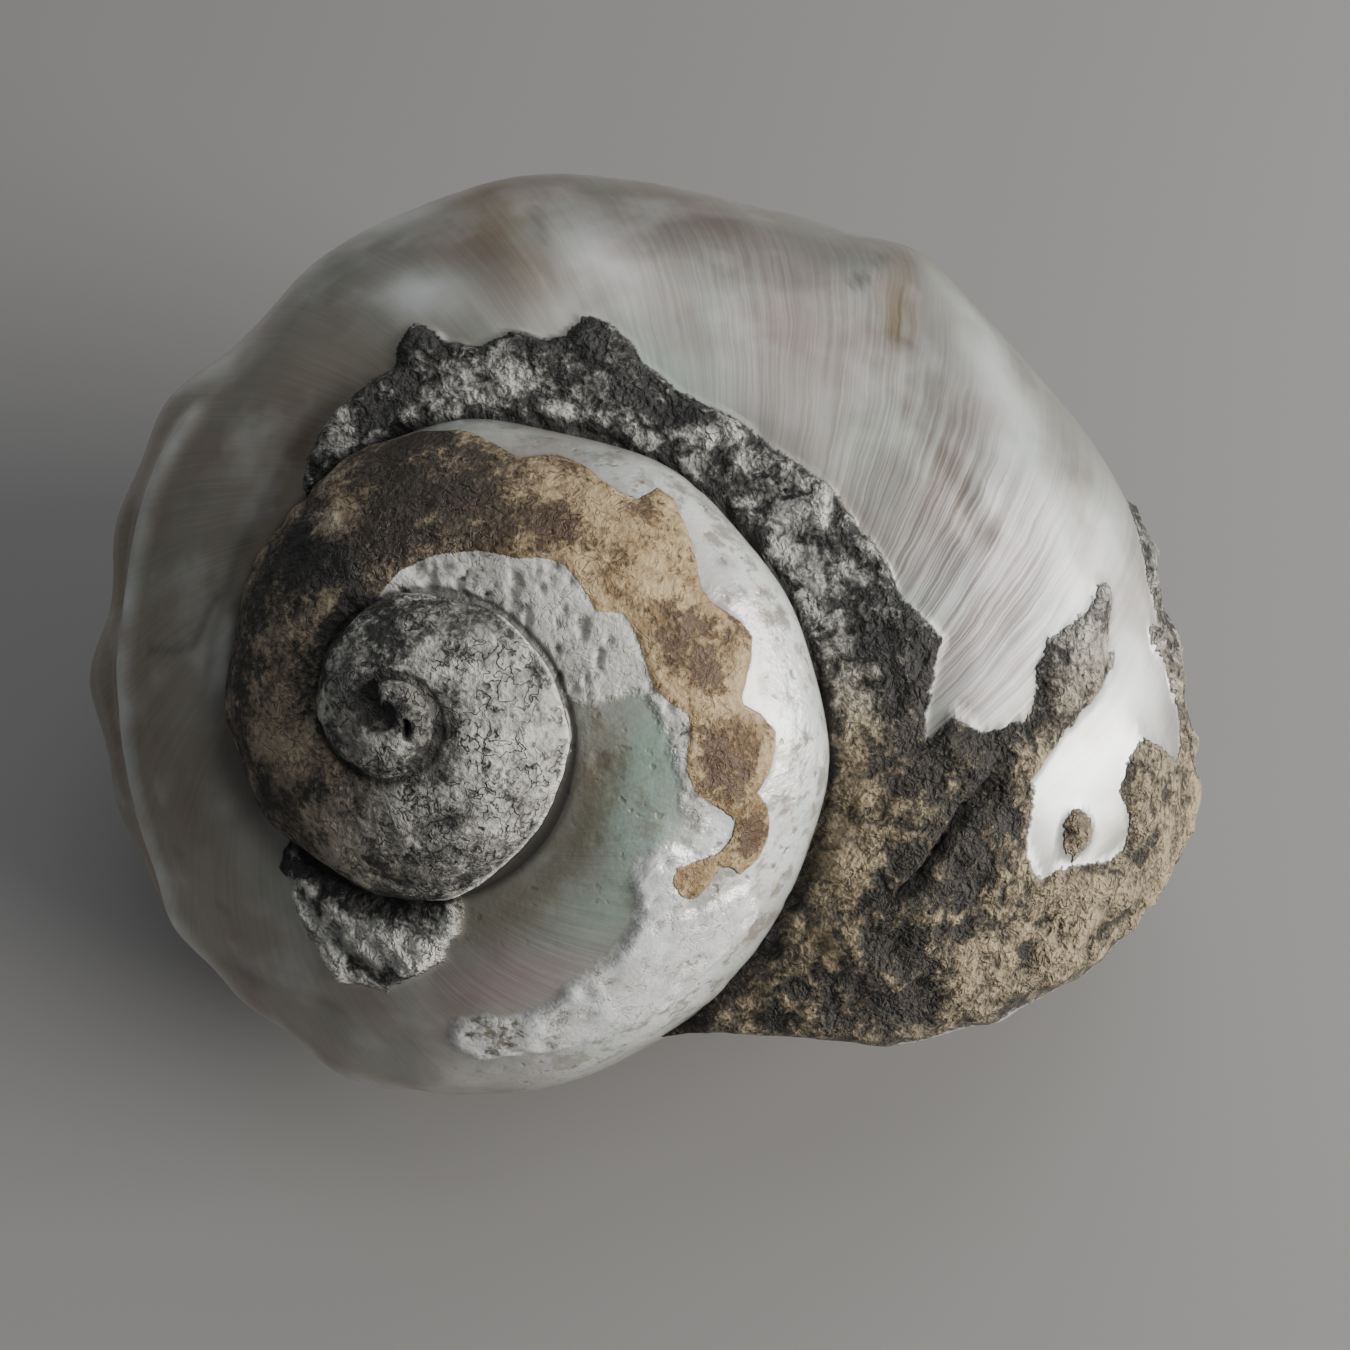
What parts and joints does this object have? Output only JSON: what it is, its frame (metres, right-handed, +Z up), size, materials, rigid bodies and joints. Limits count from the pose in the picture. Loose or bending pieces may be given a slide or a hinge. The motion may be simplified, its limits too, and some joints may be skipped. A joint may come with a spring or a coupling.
{
  "type": "turban shell",
  "caption": "Empty, worn turban sea-snail shell: a low right-handed spiral with a wide round mouth, resting on its lip and base.",
  "frame": {"origin": "centre of the bounding box in plan, on the table the shell rests on", "axes": "+Z up, +X towards the outer lip, -Y the side the spire leans towards and the mouth opens to"},
  "size_m": [0.0906, 0.0722, 0.0526],
  "materials": {
    "shell": "worn pearly nacre with chalky and blackened crust patches"
  },
  "bodies": {
    "root": {"shell": "shell"}
  },
  "joints": []
}
